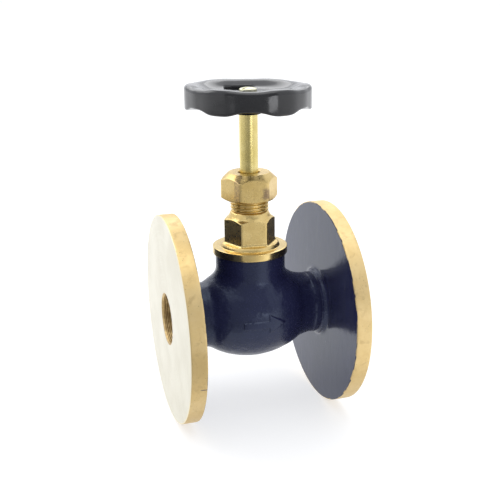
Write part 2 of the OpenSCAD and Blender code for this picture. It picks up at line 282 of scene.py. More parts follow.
class Nodes:
    """Short hand for building a material's nodes. Places are in millimetres, from the object's own coordinates."""

    def __init__(self, name):
        self.mat = bpy.data.materials.new(name)
        self.mat.use_nodes = True
        self.t = self.mat.node_tree
        self.bsdf = self.t.nodes["Principled BSDF"]
        tc = self.t.nodes.new("ShaderNodeTexCoord")
        mul = self.t.nodes.new("ShaderNodeVectorMath")
        mul.operation = "SCALE"
        mul.inputs["Scale"].default_value = 1000.0
        self.t.links.new(tc.outputs["Object"], mul.inputs[0])
        self.pos = mul.outputs[0]
        sep = self.t.nodes.new("ShaderNodeSeparateXYZ")
        self.t.links.new(self.pos, sep.inputs[0])
        self.x, self.y, self.z = sep.outputs

    def put(self, socket, value):
        if isinstance(value, bpy.types.NodeSocket):
            self.t.links.new(value, socket)
        elif isinstance(value, (tuple, list)) and socket.type == "RGBA" and len(value) == 3:
            socket.default_value = (*value, 1)
        else:
            socket.default_value = value

    def math(self, op, a, b=0.0, c=0.0, clamp=False):
        n = self.t.nodes.new("ShaderNodeMath")
        n.operation = op
        n.use_clamp = clamp
        self.put(n.inputs[0], a)
        self.put(n.inputs[1], b)
        self.put(n.inputs[2], c)
        return n.outputs[0]

    def add(self, a, b):
        return self.math("ADD", a, b)

    def sub(self, a, b):
        return self.math("SUBTRACT", a, b)

    def mul(self, a, b):
        return self.math("MULTIPLY", a, b)

    def noise(self, scale, detail=2.0, rough=0.5, vector=None, distortion=0.0, stretch=None, dims="3D"):
        """Noise from 0 to 1; scale is cells per millimetre."""
        n = self.t.nodes.new("ShaderNodeTexNoise")
        n.noise_dimensions = dims
        v = vector if vector is not None else self.pos
        if stretch is not None:
            m = self.t.nodes.new("ShaderNodeVectorMath")
            m.operation = "MULTIPLY"
            self.put(m.inputs[0], v)
            m.inputs[1].default_value = stretch
            v = m.outputs[0]
        self.put(n.inputs["Vector"], v)
        n.inputs["Scale"].default_value = scale
        n.inputs["Detail"].default_value = detail
        n.inputs["Roughness"].default_value = rough
        n.inputs["Distortion"].default_value = distortion
        return n.outputs["Fac"]

    def cells(self, scale, vector=None, feature="F1", random=1.0):
        n = self.t.nodes.new("ShaderNodeTexVoronoi")
        n.feature = feature
        self.put(n.inputs["Vector"], vector if vector is not None else self.pos)
        n.inputs["Scale"].default_value = scale
        n.inputs["Randomness"].default_value = random
        return n.outputs["Distance"]

    def ramp(self, value, a, b, lo=0.0, hi=1.0, smooth=True):
        n = self.t.nodes.new("ShaderNodeMapRange")
        n.interpolation_type = "SMOOTHSTEP" if smooth else "LINEAR"
        self.put(n.inputs["Value"], value)
        self.put(n.inputs["From Min"], a)
        self.put(n.inputs["From Max"], b)
        self.put(n.inputs["To Min"], lo)
        self.put(n.inputs["To Max"], hi)
        return n.outputs["Result"]

    def mix(self, fac, a, b):
        n = self.t.nodes.new("ShaderNodeMix")
        n.data_type = "RGBA"
        self.put(n.inputs[0], fac)
        self.put(n.inputs[6], a)
        self.put(n.inputs[7], b)
        return n.outputs[2]

    def mixf(self, fac, a, b):
        n = self.t.nodes.new("ShaderNodeMix")
        n.data_type = "FLOAT"
        self.put(n.inputs[0], fac)
        self.put(n.inputs[2], a)
        self.put(n.inputs[3], b)
        return n.outputs[0]

    def attribute(self, name):
        n = self.t.nodes.new("ShaderNodeAttribute")
        n.attribute_type = "GEOMETRY"
        n.attribute_name = name
        return n.outputs["Fac"]

    def vec(self, x, y, z):
        n = self.t.nodes.new("ShaderNodeCombineXYZ")
        self.put(n.inputs[0], x)
        self.put(n.inputs[1], y)
        self.put(n.inputs[2], z)
        return n.outputs[0]

    def bump(self, height, distance_mm=0.05, strength=1.0, normal=None):
        """height from 0 to 1 stands for distance_mm of relief."""
        n = self.t.nodes.new("ShaderNodeBump")
        n.inputs["Strength"].default_value = strength
        n.inputs["Distance"].default_value = distance_mm / 1000.0
        self.put(n.inputs["Height"], height)
        if normal is not None:
            self.put(n.inputs["Normal"], normal)
        return n.outputs[0]

    def set(self, **kw):
        names = {"color": "Base Color", "metallic": "Metallic", "roughness": "Roughness", "ior": "IOR", "normal": "Normal",
                 "specular": "Specular IOR Level", "tint": "Specular Tint", "coat": "Coat Weight", "coat_rough": "Coat Roughness",
                 "aniso": "Anisotropic", "aniso_rot": "Anisotropic Rotation", "tangent": "Tangent"}
        for k, v in kw.items():
            self.put(self.bsdf.inputs[names[k]], v)
        return self.mat


def turned_coords(n, axis="z"):
    """(radius, angle) about the stem, or about the port axis."""
    if axis == "z":
        a, b = n.x, n.y
    else:
        a, b = n.y, n.sub(n.z, AXIS)
    r = n.math("SQRT", n.add(n.mul(a, a), n.mul(b, b)))
    ang = n.math("ARCTAN2", b, a)
    return r, ang


def brass(name, light, dark, rough=0.22, turned=True, wear=0.5, stain=0.35, scale=1.0, tarnish=False, polished=0.0, relief=0.012):
    """Bare brass or bronze: faint tool marks round the stem axis, slow colour drift, small stains and nicks."""
    n = Nodes(name)
    r, ang = turned_coords(n)
    drift = n.noise(0.09 * scale, 3, 0.6)
    fine = n.noise(0.8 * scale, 4, 0.65)
    spots = n.ramp(n.noise(0.45 * scale, 2, 0.7, distortion=0.6), 0.62, 0.78)
    specks = n.ramp(n.cells(0.55 * scale), 0.03, 0.10, 1.0, 0.0)
    base = n.mix(n.ramp(drift, 0.3, 0.7), dark, light)
    base = n.mix(n.mul(spots, stain), base, tuple(c * f for c, f in zip(dark, (0.62, 0.52, 0.45))))
    base = n.mix(n.mul(specks, wear * 0.5), base, tuple(c * 0.35 for c in dark))
    if tarnish:
        # old spanner marks: two brown patches beside the corners of the nut's front face
        ragged = n.noise(0.35, 3, 0.6)
        rag2 = n.noise(0.9, 3, 0.65)
        patch = n.mul(n.ramp(n.add(ang, n.mul(ragged, 0.30)), -1.26, -1.12), n.ramp(n.add(ang, n.mul(rag2, 0.06)), -1.10, -1.04, 1.0, 0.0))
        patch = n.mul(patch, n.mul(n.ramp(n.z, AXIS + 65.0, AXIS + 67.5), n.ramp(n.add(n.z, n.mul(ragged, 6.0)), AXIS + 74.0, AXIS + 76.5, 1.0, 0.0)))
        patch = n.mul(patch, n.ramp(rag2, 0.25, 0.55, 0.55, 1.0))
        strip = n.mul(n.ramp(ang, -2.50, -2.42), n.ramp(ang, -2.21, -2.17, 1.0, 0.0))
        strip = n.mul(strip, n.mul(n.ramp(n.z, AXIS + 65.0, AXIS + 66.0), n.ramp(rag2, 0.35, 0.62, 0.25, 1.0)))
        patch = n.math("MAXIMUM", n.mul(patch, 0.95), n.mul(strip, 0.70))
        base = n.mix(n.mul(patch, n.ramp(fine, 0.15, 0.5, 0.75, 1.0)), base, (0.30, 0.21, 0.13))
    lines = n.noise(1.0, 2, 0.6, vector=n.vec(n.mul(r, 5.5), n.mul(n.z, 5.5), n.mul(ang, 0.6))) if turned else n.noise(2.4, 2, 0.5)
    rough_v = n.add(n.ramp(fine, 0.25, 0.75, rough * 0.75, rough * 1.35), n.mul(spots, 0.12))
    if polished:
        rough_v = n.mul(rough_v, n.ramp(n.z, polished - 0.2, polished, 0.6, 1.0))       # the turned collar is finer
    h = n.add(n.mul(lines, 0.55), n.mul(fine, 0.45))
    return n.set(color=base, metallic=1.0, roughness=rough_v, normal=n.bump(h, relief))


def body_material():
    n = Nodes("bronze_and_blue_paint")
    r, ang = turned_coords(n, "x")
    ax = n.math("ABSOLUTE", n.x)
    outer = n.attribute("outer")
    # where the paint ends: the inner flange edge, a little uneven, and the machined joint face
    edge_noise = n.noise(0.22, 3, 0.6)
    edge = n.add(FACE_IN + 0.22, n.mul(n.sub(edge_noise, 0.5), 0.7))
    m_edge = n.ramp(n.sub(ax, edge), -0.09, 0.09, 1.0, 0.0)
    in_neck = n.ramp(r, R_FLANGE - 0.36, R_FLANGE - 0.1, 1.0, 0.0)      # on the inner face itself the paint is whole
    m_face = n.ramp(ax, FACE_IN + 0.06, FACE_IN + 0.12, 1.0, 0.0)
    rim_gap = n.ramp(n.add(r, n.mul(n.sub(n.noise(0.30, 3, 0.65), 0.5), 1.1)), R_FLANGE - 0.62, R_FLANGE - 0.42, 1.0, 0.0)
    m_inner = n.mul(m_face, rim_gap)
    m_wrap = n.mul(n.mul(m_edge, n.ramp(n.noise(0.11, 2, 0.5), 0.44, 0.56)), n.ramp(r, 50.0, 51.0))
    mask = n.math("MAXIMUM", m_inner, m_wrap)
    mask = n.mul(mask, n.ramp(outer, 0.45, 0.55))
    top = n.ramp(n.z, AXIS + JOINT - 0.22, AXIS + JOINT - 0.12, 1.0, 0.0)
    mask = n.mul(mask, n.math("MAXIMUM", top, n.ramp(ax, 22.0, 24.0)))
    # a paint run in a scratch on the inlet flange's rim
    sx = n.ramp(n.x, -43.6, -43.0)
    sz = n.ramp(n.math("ABSOLUTE", n.sub(n.z, n.add(39.6, n.mul(n.add(n.x, 41.0), -0.08)))), 0.16, 0.32, 1.0, 0.0)
    sy = n.ramp(n.y, -50.0, -52.0)
    sr = n.ramp(n.x, -39.0, -38.0, 1.0, 0.0)
    scratch = n.mul(n.mul(sx, sz), n.mul(sy, sr))
    scratch = n.mul(scratch, n.ramp(n.noise(1.1, 2, 0.6), 0.30, 0.50))

    # paint
    flat = n.ramp(ax, FACE_IN - 0.5, FACE_IN - 0.15)
    drift = n.noise(0.06, 3, 0.6)
    paint = n.mix(n.ramp(drift, 0.3, 0.7), (0.0135, 0.0145, 0.0470), (0.0185, 0.0200, 0.0590))
    dust = n.ramp(n.cells(0.16), 0.035, 0.075, 1.0, 0.0)
    paint = n.mix(n.mul(dust, n.mul(flat, 0.55)), paint, (0.0035, 0.0035, 0.0060))
    streak = n.noise(1.0, 3, 0.62, stretch=(0.3, 0.75, 0.035))
    paint = n.mix(n.mul(flat, n.ramp(streak, 0.42, 0.72, 0.0, 0.55)), paint, (0.052, 0.056, 0.074))
    coarse = n.noise(0.33, 3, 0.55)
    lumps = n.noise(0.85, 3, 0.6)
    peel = n.noise(2.2, 2, 0.5)
    brush = n.noise(1.0, 3, 0.6, stretch=(0.3, 1.15, 0.06))
    grain = n.noise(1.15, 3, 0.65)
    cast = n.add(n.add(n.mul(coarse, 0.48), n.mul(lumps, 0.30)), n.add(n.mul(peel, 0.05), n.mul(grain, 0.08)))
    smooth = n.add(n.mul(brush, 0.30), n.mul(n.noise(0.12, 2, 0.5), 0.55))
    smooth = n.sub(smooth, n.mul(dust, 0.5))
    paint_h = n.mixf(flat, n.mul(cast, 0.30), n.mul(smooth, 0.14))
    paint_rough = n.mixf(flat, n.ramp(lumps, 0.3, 0.7, 0.19, 0.29), n.ramp(brush, 0.3, 0.7, 0.06, 0.17))

    # bare bronze: faces turned about the port axis, rims, and the rough cast bore
    bore = n.ramp(r, 14.9, 15.4, 1.0, 0.0)
    deep = n.ramp(ax, 34.6, 33.8)
    face = n.mul(n.ramp(ax, FACE_OUT - 0.3, FACE_OUT - 0.1), n.ramp(r, 14.3, 14.6))
    slow = n.noise(0.045, 3, 0.6)
    pits = n.ramp(n.cells(0.42), 0.05, 0.12, 1.0, 0.0)
    blotch = n.ramp(n.noise(0.17, 4, 0.7, distortion=0.8), 0.52, 0.72)
    rim_c = n.mix(n.ramp(slow, 0.3, 0.7), (0.74, 0.55, 0.25), (0.84, 0.655, 0.34))
    rim_c = n.mix(n.mul(blotch, 0.50), rim_c, (0.52, 0.37, 0.17))
    rim_c = n.mix(n.mul(pits, 0.55), rim_c, (0.22, 0.16, 0.09))
    rim_c = n.mix(n.ramp(n.z, 15.0, 112.0, 0.30, 0.0), rim_c, (0.36, 0.265, 0.135))       # painted shade: the rims get darker towards the floor
    face_c = n.mix(n.ramp(slow, 0.3, 0.7), (0.70, 0.67, 0.565), (0.765, 0.74, 0.64))
    face_spots = n.mul(n.ramp(n.cells(0.21), 0.05, 0.11, 1.0, 0.0), n.ramp(n.noise(0.05, 2, 0.5), 0.52, 0.62))
    face_c = n.mix(n.mul(face_spots, 0.55), face_c, (0.60, 0.42, 0.30))
    edge_ring = n.mul(n.ramp(r, 56.6, 57.0), 1.0)
    bare = n.mix(face, rim_c, face_c)
    bare = n.mix(n.mul(edge_ring, n.mul(face, 0.6)), bare, (0.90, 0.80, 0.52))
    bore_c = n.mix(n.ramp(n.noise(0.35, 3, 0.6), 0.35, 0.65), (0.42, 0.29, 0.13), (0.62, 0.46, 0.22))
    bare = n.mix(n.mul(bore, n.sub(1.0, face)), bare, bore_c)
    groove_x = n.math("SINE", n.mul(n.x, 6.2832 / 0.95))
    tool_r = n.noise(1.0, 2, 0.55, vector=n.vec(n.mul(r, 2.6), n.mul(ang, 0.5), 0.0))
    tool_x = n.noise(1.0, 2, 0.55, vector=n.vec(n.mul(n.x, 3.2), n.mul(ang, 0.9), 0.0))
    bare_h = n.mixf(face, n.add(n.mul(tool_x, 0.55), n.mul(n.sub(n.noise(0.9, 3, 0.6), n.mul(pits, 0.8)), 0.45)), tool_r)
    bare_h = n.mul(bare_h, 0.026)
    bare_h = n.mixf(n.mul(bore, n.sub(1.0, face)), bare_h, n.mul(n.add(n.mul(groove_x, 0.35), n.noise(0.5, 3, 0.6)), n.mixf(deep, 0.10, 0.16)))
    bare_rough = n.mixf(face, n.ramp(n.noise(0.5, 3, 0.6), 0.3, 0.7, 0.44, 0.56), n.ramp(tool_r, 0.3, 0.7, 0.38, 0.50))
    bare_rough = n.mixf(bore, bare_rough, 0.42)

    mask = n.math("MAXIMUM", mask, n.mul(scratch, 0.85))
    color = n.mix(mask, bare, paint)
    height = n.mixf(mask, bare_h, paint_h)
    height = n.add(height, n.mul(mask, 0.05))
    return n.set(color=color, metallic=n.sub(1.0, mask), roughness=n.mixf(mask, bare_rough, paint_rough), ior=1.5,
                 tint=n.mix(mask, (1, 1, 1), (0.68, 0.82, 1.0)), normal=n.bump(height, 1.0))


def enamel_material():
    n = Nodes("black_enamel")
    r, ang = turned_coords(n)
    drift = n.noise(0.08, 3, 0.6)
    fine = n.noise(0.9, 3, 0.6)
    peel = n.noise(2.6, 2, 0.5)
    scuff = n.ramp(n.noise(0.35, 4, 0.72, distortion=0.9), 0.62, 0.74)
    base = n.mix(n.ramp(drift, 0.3, 0.7), (0.0110, 0.0110, 0.0128), (0.0165, 0.0165, 0.0185))
    base = n.mix(n.mul(scuff, 0.25), base, (0.045, 0.045, 0.047))
    hollow = n.mul(n.ramp(r, 26.0, 26.6, 1.0, 0.0), n.ramp(n.z, AXIS + 119.0, AXIS + 120.0, 1.0, 0.0))   # the wheel's underside, painted as shade
    # painted shade: the underside is coloured darker and its gloss and coat are cut, so it mirrors less of the floor
    base = n.mix(hollow, base, (0.006, 0.006, 0.008))
    rough = n.add(n.ramp(fine, 0.3, 0.7, 0.17, 0.23), n.add(n.mul(scuff, 0.10), n.mul(hollow, 0.30)))
    h = n.add(n.mul(n.noise(0.22, 2, 0.5), 0.5), n.add(n.mul(fine, 0.06), n.mul(peel, 0.012)))
    return n.set(color=base, metallic=0.0, roughness=rough, ior=1.52, specular=n.mixf(hollow, 0.26, 0.04), coat=n.mixf(hollow, 0.55, 0.0), coat_rough=0.10, normal=n.bump(h, 0.05))


def ptfe_material():
    n = Nodes("ptfe")
    drift = n.noise(0.4, 3, 0.6)
    fine = n.noise(2.5, 3, 0.6)
    base = n.mix(n.ramp(drift, 0.3, 0.7), (0.78, 0.77, 0.72), (0.86, 0.86, 0.83))
    return n.set(color=base, roughness=n.ramp(fine, 0.2, 0.8, 0.38, 0.52), ior=1.35, normal=n.bump(fine, 0.02))


MAT_BODY = body_material()
MAT_BONNET = brass("bronze_turned", (0.79, 0.605, 0.265), (0.67, 0.49, 0.19), rough=0.31, wear=0.25, polished=AXIS + 38.6)
MAT_NUT = brass("nut_brass", (0.755, 0.575, 0.255), (0.635, 0.46, 0.175), rough=0.31, wear=0.15, tarnish=True)
MAT_STEM = brass("stem_brass", (0.76, 0.64, 0.28), (0.66, 0.54, 0.20), rough=0.25, stain=0.15, wear=0.15, relief=0.004)
MAT_SCREW = brass("screw_brass", (0.80, 0.79, 0.60), (0.68, 0.66, 0.46), rough=0.30, wear=0.3)
MAT_INNER = brass("inner_brass", (0.82, 0.66, 0.38), (0.68, 0.52, 0.27), rough=0.26)
MAT_WHEEL = enamel_material()
MAT_PTFE = ptfe_material()


# ---------------------------------------------------------------- body casting

def polygon_distance(px, pz, pts):
    """Signed distance in the XZ plane to a closed polygon, negative inside."""
    d = np.full(px.shape, 1e9)
    sign = np.ones(px.shape)
    n = len(pts)
    for i in range(n):
        ax_, az_ = pts[i]
        bx, bz = pts[i - 1]
        ex, ez = bx - ax_, bz - az_
        wx, wz = px - ax_, pz - az_
        t = np.clip((wx * ex + wz * ez) / (ex * ex + ez * ez), 0, 1)
        d = np.minimum(d, (wx - ex * t) ** 2 + (wz - ez * t) ** 2)
        c1, c2, c3 = pz >= az_, pz < bz, ex * wz > ez * wx
        flip = (c1 & c2 & c3) | (~c1 & ~c2 & ~c3)
        sign = np.where(flip, -sign, sign)
    return sign * np.sqrt(d)


BRIDGE = [(-20.5, 24), (-16.4, 5.5), (-13, 0.5), (14.5, 0.5), (19.6, -4.6), (26, -26),
          (21.8, -26), (16.2, -8), (13, -4.5), (-14.5, -4.5), (-20.2, 3.6), (-25, 24)]
ARROW = [(-11, -1.7), (3, -1.7), (3, -5), (11.5, 0), (3, 5), (3, 1.7), (-11, 1.7)]


def ellipse(x, r, a, b):
    q = np.sqrt((x / a) ** 2 + (r / b) ** 2)
    g = np.sqrt((x / a ** 2) ** 2 + (r / b ** 2) ** 2)
    return q * (q - 1) / np.maximum(g, 1e-6)


def outer_shape(x, y, z):
    """Outside of the casting between the flanges; z above the port axis."""
    rx = np.sqrt(y * y + z * z)
    rz = np.sqrt(x * x + y * y)
    bulb = ellipse(x, rx, 36.0, 26.1)
    neck = rx - np.interp(np.abs(x), [25.0, 27.3, 28.3, 30.8, 31.9], [18.05, 18.0, 17.8, 17.35, R_NECK + 0.08])
    d = smin(bulb, neck, 1.4)
    up = np.maximum(rz - R_TOP, -z)
    d = smin(d, up, 4.2)
    d = round_and(d, z - JOINT, 0.35)
    return d


def arrow_shape(x, y, z, skin):
    a = polygon_distance(x, z, ARROW) - 0.25
    a = np.where(y < 0, a, 5.0)
    return smin(skin, smax(a, skin - 0.62, 0.35), 0.25)


def void_shape(x, y, z):
    rx = np.sqrt(y * y + z * z)
    rz = np.sqrt(x * x + y * y)
    hollow = ellipse(x, rx, 32.0, 21.7)
    hollow = np.minimum(hollow, rx - 12.5)
    hollow = np.minimum(hollow, np.maximum(np.maximum(rz - 15, 2 - z), z - 40))
    plate = smax(polygon_distance(x, z, BRIDGE), np.minimum(rx - 24.5, np.maximum(rz - 18.2, z - 24)), 0.5)
    hollow = smax(hollow, -plate, 1.2)
    chamber = np.maximum(np.maximum(rz - 15, 0.5 - z), z - 21)
    seat = np.maximum(np.maximum(rz - 12.5, -7.5 - z), z - 2.5)
    bore = np.maximum(np.maximum(rz - 16, 18 - z), z - 40)
    recess = np.maximum(rz - 17.9, JOINT - 0.8 - z)
    hollow = smin(hollow, chamber, 0.6)
    hollow = np.minimum(hollow, seat)
    hollow = smin(hollow, bore, 0.6)
    return np.minimum(hollow, recess)


def casting(x, y, z):
    skin = outer_shape(x, y, z)
    d = arrow_shape(x, y, z, skin)
    d = smax(d, -void_shape(x, y, z), 0.5)
    return smax(d, np.abs(x) - 34.6, 0.3)


def build_body():
    h = 0.5
    v, q = surface_net(casting, (-36, -27.6, -27.6), (36, 27.6, 35.6), h, relax=2, project=3)
    # slow lumps and finer grain of the sand casting, on the outside only
    skin = outer_shape(v[:, 0], v[:, 1], v[:, 2])
    outside = step(0.9, 0.2, np.abs(skin)) * step(JOINT - 0.3, JOINT - 0.9, v[:, 2]) * step(34.2, 32.0, np.abs(v[:, 0]))
    normal = v * np.array([0.15, 1, 1])
    normal /= np.maximum(np.linalg.norm(normal, axis=1), 1e-6)[:, None]
    bump = 0.09 * noise3(v, 7.0, 3) + 0.06 * noise3(v, 3.1, 5) + 0.035 * noise3(v, 1.5, 9)
    v = v + normal * (bump * outside)[:, None]
    v[:, 2] += AXIS
    core = make_mesh("body", v, q, None, None)
    set_outward(core)

    def flange(side):
        rows = [(12.48, 33.0), (17.18, 33.0), (17.29, 33.2)]
        # a plain neck, a shallow groove, then a low boss against the flange
        rows += [(17.30, 33.9), (17.31, 34.6), (17.32, 35.3), (17.33, 35.9), (17.31, 36.3), (17.22, 36.6), (17.2, 36.8), (17.32, 37.0), (17.62, 37.2),
                 (17.98, 37.38), (18.22, 37.56), (18.36, 37.8), (18.46, 38.15), (18.56, 38.5), (18.68, 38.82), (18.9, 39.1), (19.25, 39.34), (19.75, 39.53),
                 (20.4, 39.66), (21.1, FACE_IN)]
        for r in np.linspace(21.9, R_FLANGE - 0.55, 30):
            rows.append((r, FACE_IN))
        for a in (0, 30, 60, 90):
            a = math.radians(a)
            rows.append((R_FLANGE - 0.45 + 0.45 * math.sin(a), FACE_IN + 0.45 - 0.45 * math.cos(a)))
        for s in np.linspace(FACE_IN + 1.2, FACE_OUT - 1.2, 7):
            rows.append((R_FLANGE, s))
        for a in (0, 30, 60, 90):
            a = math.radians(a)
            rows.append((R_FLANGE - 0.4 + 0.4 * math.cos(a), FACE_OUT - 0.4 + 0.4 * math.sin(a)))
        for r in np.linspace(R_FLANGE - 1.2, 15.6, 26):
            rows.append((r, FACE_OUT))
        rows += [(14.55, FACE_OUT), (14.3, FACE_OUT - 0.12), (13.58, FACE_OUT - 0.84), (13.5, FACE_OUT - 1.1)]
        # fine turned grooves in the port bore
        s = FACE_OUT - 1.4
        while s > 34.9:
            rows += [(13.5, s), (13.36, s - 0.42), (13.48, s - 0.62)]
            s -= 0.95
        rows += [(13.4, 34.4), (12.48, 34.25)]
        o = ring_mesh("flange_tmp", rows, 288, None, axis="x", side=side, sharp=None)
        return set_outward(o)

    for side in (1, -1):
        part = flange(side)
        b = core.modifiers.new("join", "BOOLEAN")
        b.operation = "UNION"
        b.solver = "MANIFOLD"
        b.object = part
        bpy.context.view_layer.update()
        apply_modifiers(core)
        bpy.data.objects.remove(part)
    me = core.data
    co = np.zeros(len(me.vertices) * 3)
    me.vertices.foreach_get("co", co)
    co = co.reshape(-1, 3) * 1000.0
    co[:, 2] -= AXIS
    x, y, z = co.T
    rx = np.hypot(y, z)
    inside = (np.minimum(np.abs(void_shape(x, y, z)), np.where(np.abs(x) > 32, np.abs(rx - 12.48), 9)) < 0.45) | \
             ((np.abs(x) > 33.5) & (rx < 15.0))
    outer = np.where(inside & ~((rx > 15.5) & (np.abs(x) > 33)), 0.0, 1.0)
    a = me.attributes.new("outer", "FLOAT", "POINT")
    a.data.foreach_set("value", outer.astype(np.float32))
    me.materials.clear()
    me.materials.append(MAT_BODY)
    finish_normals(me, 34)
    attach(core, "valve_body")
    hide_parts("body")
    return core


# ---------------------------------------------------------------- bonnet, nut and stem

HEX_TURN = 54.0


def thread_radius(seg, z, crest, depth, pitch, z0, z1, fade=1.0):
    """Radius over the angle at height z of a rounded thread that runs out at both ends."""
    t = ((z - z0) / pitch - angles(seg) / (2 * np.pi)) % 1.0
    tri = 1 - np.abs(2 * t - 1)
    p = step(0.12, 0.80, tri)
    env = min(step(0, fade, (z - z0) / pitch), step(0, fade, (z1 - z) / pitch))
    return crest - depth + depth * p * env


def build_bonnet():
    seg = 540
    hexr = hexagon(seg, 24.8, HEX_TURN, 0.45)
    th = angles(seg)
    collar = 20.6
    rows = [(12.9, 20.0), (14.75, 20.0), (14.8, 20.4)]
    for z in np.arange(20.8, 33.0, 0.2):
        rows.append((thread_radius(seg, z, 15.95, 1.1, 2.0, 20.8, 33.0), z))
    rows += [(14.8, 33.1), (14.8, JOINT), (collar - 0.35, JOINT), (collar - 0.1, JOINT + 0.1), (collar, JOINT + 0.35)]
    for z in np.linspace(JOINT + 0.8, 37.6, 6):
        rows.append((collar, z))
    rows += [(collar, 37.9), (collar - 0.1, 38.15), (collar - 0.35, 38.25)]
    # a shallow turned groove and step on the collar's top
    for r, z in ((19.2, 38.26), (18.2, 38.25), (17.3, 38.24), (16.7, 38.2), (16.4, 38.22), (16.25, 38.35), (16.15, 38.6), (15.95, 39.0), (15.7, 39.4),
                 (15.45, 39.75), (15.3, 39.95)):
        rows.append((r, z))
    # fillet between the step and the hexagon's flats
    for grow, z in ((1.15, 40.1), (0.8, 40.22), (0.5, 40.42), (0.28, 40.7), (0.12, 41.05), (0.03, 41.45)):
        rows.append((np.minimum(hexr + grow, 15.25 - 0.35 * (z - 40.1)), z))
    shoulder_r = [16.0, 15.2, 14.35, 13.6, 13.0, 12.4, 11.95, 11.6, 11.3, 11.05, 10.85, 10.7, 10.5, 10.2, 9.8, 9.5]
    shoulder_z = [51.6, 52.3, 52.9, 53.35, 53.7, 54.1, 54.5, 54.95, 55.45, 56.0, 56.55, 57.0, 57.35, 57.6, 57.8, 57.9]
    for z in np.concatenate([np.linspace(41.8, 51.4, 34), np.arange(51.6, 57.9, 0.12)]):
        s = np.interp(z, shoulder_z, shoulder_r, left=30.0) if z > 51.5 else 30.0
        r = smin(hexr, np.full(seg, s), 0.4)
        # the shoulder is left as forged: lumpy and not quite round
        p = np.stack([r * np.cos(th), r * np.sin(th), np.full(seg, z)], 1)
        lump = 0.26 * noise3(p, 3.4, 21) + 0.12 * noise3(p, 1.7, 23)
        r = r + lump * step(52.4, 53.4, z) * step(57.9, 56.9, z) * step(0.1, 0.9, hexr - r)
        flat_wave = 0.03 * noise3(p, 5.0, 25)
        rows.append((r + flat_wave * step(53.5, 52.0, z), z))
    rows += [(9.35, 57.95), (9.3, 58.15)]
    for z in np.arange(58.25, 73.45, 0.14):
        rows.append((thread_radius(seg, z, 10.43, 0.95, 1.814, 58.0, 73.6, 0.3), z))
    rows += [(9.3, 73.5), (7.75, 73.5), (7.55, 73.3), (7.55, 56.6), (6.4, 56.6), (6.4, 46.4), (6.05, 46.0), (6.05, 28.4), (8.0, 26.4), (10.2, 26.4),
             (12.9, 24.0)]
    o = ring_mesh("bonnet", rows, seg, MAT_BONNET, sharp=38)
    set_outward(o)
    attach(o, "valve_body")
    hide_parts("bonnet")
    return o


def build_gland_nut():
    seg = 540
    af = 27.3
    nut_r = af / 2 / math.cos(math.pi / 6)
    hexr = hexagon(seg, af, HEX_TURN, 0.5)
    th = angles(seg)
    z0, h = 64.0, 15.0
    rows = [(11.35, z0), (12.3, z0), (12.55, z0 + 0.06)]
    zs = np.unique(np.concatenate([np.linspace(z0 + 0.12, z0 + 2.2, 16), np.linspace(z0 + 2.2, z0 + h - 4.7, 26),
                                   np.linspace(z0 + h - 4.7, z0 + h - 0.08, 40)]))
    for z in zs:
        low = 12.55 + (z - z0) * (nut_r + 0.1 - 12.55) / 1.7
        high = 11.2 + (z0 + h - z) * (nut_r + 0.1 - 11.2) / 4.3
        cone = min(low, high)
        r = smin(hexr, np.full(seg, cone), 0.4)
        p = np.stack([r * np.cos(th), r * np.sin(th), np.full(seg, z)], 1)
        rows.append((r + 0.02 * noise3(p, 4.5, 31), z))
    rows += [(11.05, z0 + h), (10.0, z0 + h), (8.6, z0 + h), (7.4, z0 + h), (6.45, z0 + h), (6.2, z0 + h - 0.08), (5.95, z0 + h - 0.4), (5.9, z0 + h - 0.6),
             (5.9, z0 + 12.25), (9.05, z0 + 12.25), (9.05, z0 + 11.4), (10.48, z0 + 10.4), (10.48, z0 + 0.9)]
    o = ring_mesh("gland_nut", rows, seg, MAT_NUT, sharp=38)
    set_outward(o)
    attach(o, "gland_nut")
    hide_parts("gland_nut")
    return o


def build_stem():
    seg = 216
    th = angles(seg)
    rows = [(0, 14.52), (3.0, 14.54), (6.2, 15.1), (6.8, 15.6), (6.8, 17.3), (4.5, 17.3), (4.5, 24.2), (7.2, 24.6), (7.6, 25.0), (7.6, 26.0), (5.0, 27.4)]
    for z in np.arange(27.6, 55.8, 0.2):
        rows.append((thread_radius(seg, z, 6.0, 1.4, 3.0, 27.5, 55.8), z))
    rows += [(4.6, 55.8), (4.98, 56.1)]
    for z in np.arange(57.0, 109.6, 1.5):
        rows.append((5.0, z))
    rows += [(5.0, 109.7), (4.75, 109.95)]
    square = 3.5 / np.maximum(np.abs(np.cos(th)), np.abs(np.sin(th)))
    square = smin(square, np.full(seg, 4.85), 0.3)
    rows += [(square + 0.0, 110.0)]
    for z in np.linspace(110.3, 120.5, 10):
        rows.append((square, z))
    rows += [(square - 0.35, 120.95), (2.9, 121.0), (2.55, 120.9), (2.5, 120.6), (2.5, 108.5), (0, 108.4)]
    o = ring_mesh("stem", rows, seg, MAT_STEM, closed=False, sharp=35)
    set_outward(o)
    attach(o, "spindle")
    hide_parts("stem")
    return o


# ---------------------------------------------------------------- handwheel

WHEEL_TURN = math.radians(46.0)
TILT = 0.012
WEB = 121.4
RIM_LOW = 112.45
CREST = 125.9


